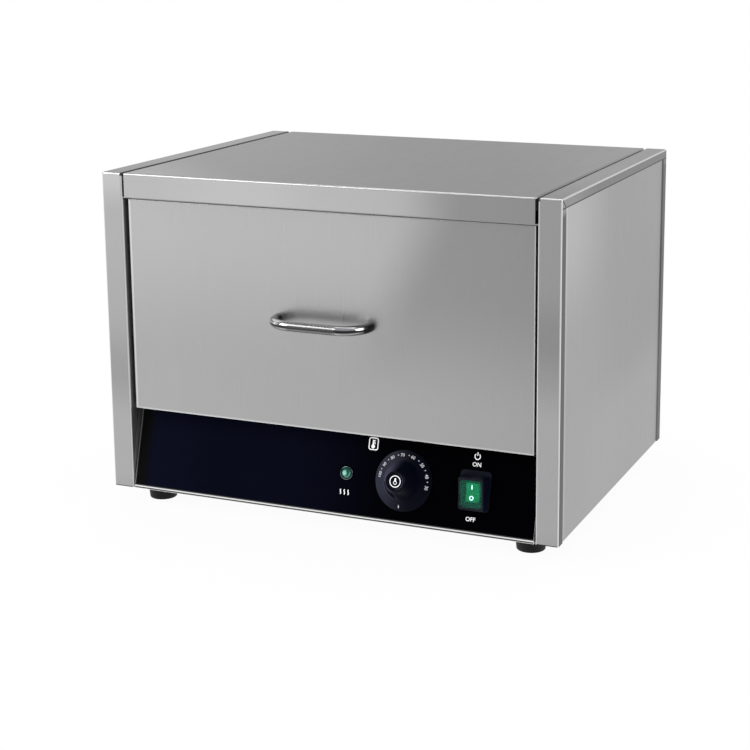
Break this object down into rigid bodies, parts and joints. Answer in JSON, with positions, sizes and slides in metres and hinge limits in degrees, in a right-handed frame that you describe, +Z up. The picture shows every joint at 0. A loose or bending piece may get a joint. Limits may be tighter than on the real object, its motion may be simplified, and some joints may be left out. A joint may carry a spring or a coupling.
{
  "type": "steam display warmer",
  "caption": "Countertop stainless steel drawer warmer with a sloping control panel, a pull-out drawer over a heated water pan, a thermostat dial, a lamp and a rocker switch.",
  "frame": {"origin": "on the table under the middle of the bounding box", "axes": "+X to the right, +Y from the drawer front to the back, +Z up"},
  "size_m": [0.47, 0.3864, 0.336],
  "materials": {
    "stainless_outer": "brushed satin",
    "stainless_inner": "plain mill finish",
    "water_pan_steel": "bright satin",
    "slide_zinc": "zinc plated",
    "slide_balls": "polished",
    "screw_steel": "plain",
    "handle_chrome": "mirror, satin in the middle",
    "lamp_chrome": "mirror",
    "foot_rubber": "matt",
    "panel_film": "glossy navy black",
    "black_plastic": "satin",
    "dial_plastic": "semi gloss",
    "green_lens": "clear green",
    "green_membrane": "clear green rubber",
    "green_rocker": "lit green",
    "mineral_wool": "loose fibres",
    "element_sheath": "heat darkened",
    "ceramic": "glazed",
    "wire_sleeve": "silicone sleeve"
  },
  "bodies": {
    "cabinet": {"end_frame_left": "stainless_outer", "end_frame_right": "stainless_outer", "side_panel_left": "stainless_outer", "side_panel_right": "stainless_outer", "top_cover": "stainless_outer", "control_panel": "stainless_outer", "back_panel": "stainless_outer", "top_ledges": "stainless_inner", "cavity_ceiling": "stainless_inner", "cavity_back": "stainless_inner", "cavity_floor": "stainless_inner", "base_pan": "stainless_inner", "heat_shield": "stainless_inner", "element_brackets": "stainless_inner", "bulb_clips": "stainless_inner", "water_pan": "water_pan_steel", "slide_rail_left": "slide_zinc", "slide_rail_right": "slide_zinc", "case_screws": "screw_steel", "frame_screws": "screw_steel", "thermostat_screws": "screw_steel", "element_screws": "screw_steel", "foot_screws": "screw_steel", "lamp_bezel": "lamp_chrome", "feet": "foot_rubber", "panel_overlay": "panel_film", "thermostat_body": "black_plastic", "lamp_body": "black_plastic", "switch_body": "black_plastic", "switch_boot": "black_plastic", "cord_gland": "black_plastic", "gland_lock_nut": "black_plastic", "lamp_lens": "green_lens", "switch_membrane": "green_membrane", "side_insulation": "mineral_wool", "ceiling_insulation": "mineral_wool", "back_insulation": "mineral_wool", "steam_element": "element_sheath", "sensor_bulb": "element_sheath", "terminal_block": "ceramic", "wiring": "wire_sleeve"},
    "drawer": {"drawer_front": "stainless_outer", "drawer_insulation": "mineral_wool", "drawer_box": "stainless_inner", "drawer_tray": "water_pan_steel", "drawer_handle": "handle_chrome", "handle_screws": "screw_steel", "drawer_screws": "screw_steel", "slide_member_left": "slide_zinc", "slide_member_right": "slide_zinc"},
    "middle_slide_left": {"slide_middle_left": "slide_zinc"},
    "middle_slide_right": {"slide_middle_right": "slide_zinc"},
    "outer_cage_left": {"outer_ball_cage_left": "slide_balls"},
    "outer_cage_right": {"outer_ball_cage_right": "slide_balls"},
    "inner_cage_left": {"inner_ball_cage_left": "slide_balls"},
    "inner_cage_right": {"inner_ball_cage_right": "slide_balls"},
    "dial": {"dial_knob": "dial_plastic", "thermostat_shaft": "screw_steel"},
    "rocker": {"switch_rocker": "green_rocker"}
  },
  "joints": [
    {"name": "drawer_slide", "type": "slide", "parent": "cabinet", "child": "drawer", "axis": [0, -1, 0], "range_m": [0, 0.28]},
    {"name": "middle_slide_left_run", "type": "slide", "parent": "cabinet", "child": "middle_slide_left", "axis": [0, -1, 0], "range_m": [0, 0.14]},
    {"name": "outer_cage_left_run", "type": "slide", "parent": "cabinet", "child": "outer_cage_left", "axis": [0, -1, 0], "range_m": [0, 0.07]},
    {"name": "inner_cage_left_run", "type": "slide", "parent": "cabinet", "child": "inner_cage_left", "axis": [0, -1, 0], "range_m": [0, 0.2101]},
    {"name": "middle_slide_right_run", "type": "slide", "parent": "cabinet", "child": "middle_slide_right", "axis": [0, -1, 0], "range_m": [0, 0.14]},
    {"name": "outer_cage_right_run", "type": "slide", "parent": "cabinet", "child": "outer_cage_right", "axis": [0, -1, 0], "range_m": [0, 0.07]},
    {"name": "inner_cage_right_run", "type": "slide", "parent": "cabinet", "child": "inner_cage_right", "axis": [0, -1, 0], "range_m": [0, 0.2101]},
    {"name": "dial_turn", "type": "hinge", "parent": "cabinet", "child": "dial", "pos_m": [0.0795, -0.15809, 0.05755], "axis": [0, -0.9618, 0.2739], "range_deg": [-83, 193]},
    {"name": "switch_rock", "type": "hinge", "parent": "cabinet", "child": "rocker", "pos_m": [0.1509, -0.16226, 0.05737], "axis": [1, 0, 0], "range_deg": [0, 20]}
  ],
  "couplings": [
    {"joint": "middle_slide_left_run", "follows": "drawer_slide", "ratio": 0.5},
    {"joint": "outer_cage_left_run", "follows": "drawer_slide", "ratio": 0.25},
    {"joint": "inner_cage_left_run", "follows": "drawer_slide", "ratio": 0.75},
    {"joint": "middle_slide_right_run", "follows": "drawer_slide", "ratio": 0.5},
    {"joint": "outer_cage_right_run", "follows": "drawer_slide", "ratio": 0.25},
    {"joint": "inner_cage_right_run", "follows": "drawer_slide", "ratio": 0.75}
  ]
}
